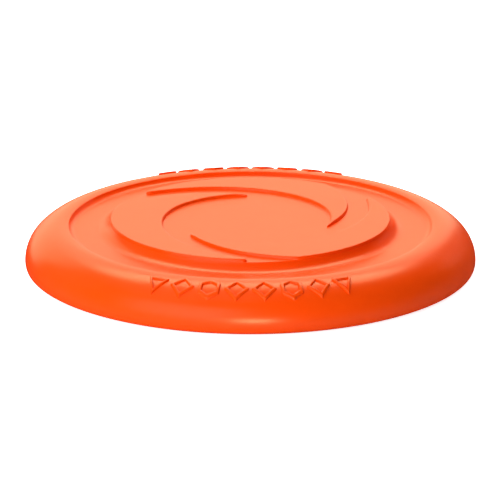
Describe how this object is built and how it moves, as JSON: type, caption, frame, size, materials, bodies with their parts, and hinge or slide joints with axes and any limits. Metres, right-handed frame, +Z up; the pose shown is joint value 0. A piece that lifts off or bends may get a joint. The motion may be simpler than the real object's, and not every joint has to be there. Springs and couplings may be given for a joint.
{
  "type": "flying disc",
  "caption": "Soft foam flying disc for lawn games and dogs: a thick rounded rim, a flat flight deck, a raised centre with a three-blade swirl, and a hollow underside.",
  "frame": {"origin": "on the disc's axis, level with the flat foot ring that it rests on", "axes": "+Z up along the disc's axis, through the swirl side; -Y towards the front row of raised figures; +X to its right"},
  "size_m": [0.24, 0.24, 0.027],
  "materials": {
    "foam": "satin-matte closed-cell foam, moulded through in orange"
  },
  "bodies": {
    "root": {"centre_plate": "foam", "deck_ring": "foam", "rim_crown": "foam", "rim_foot": "foam", "swirl_blade_1": "foam", "swirl_blade_2": "foam", "swirl_blade_3": "foam", "front_marks": "foam", "rear_marks": "foam"}
  },
  "joints": []
}
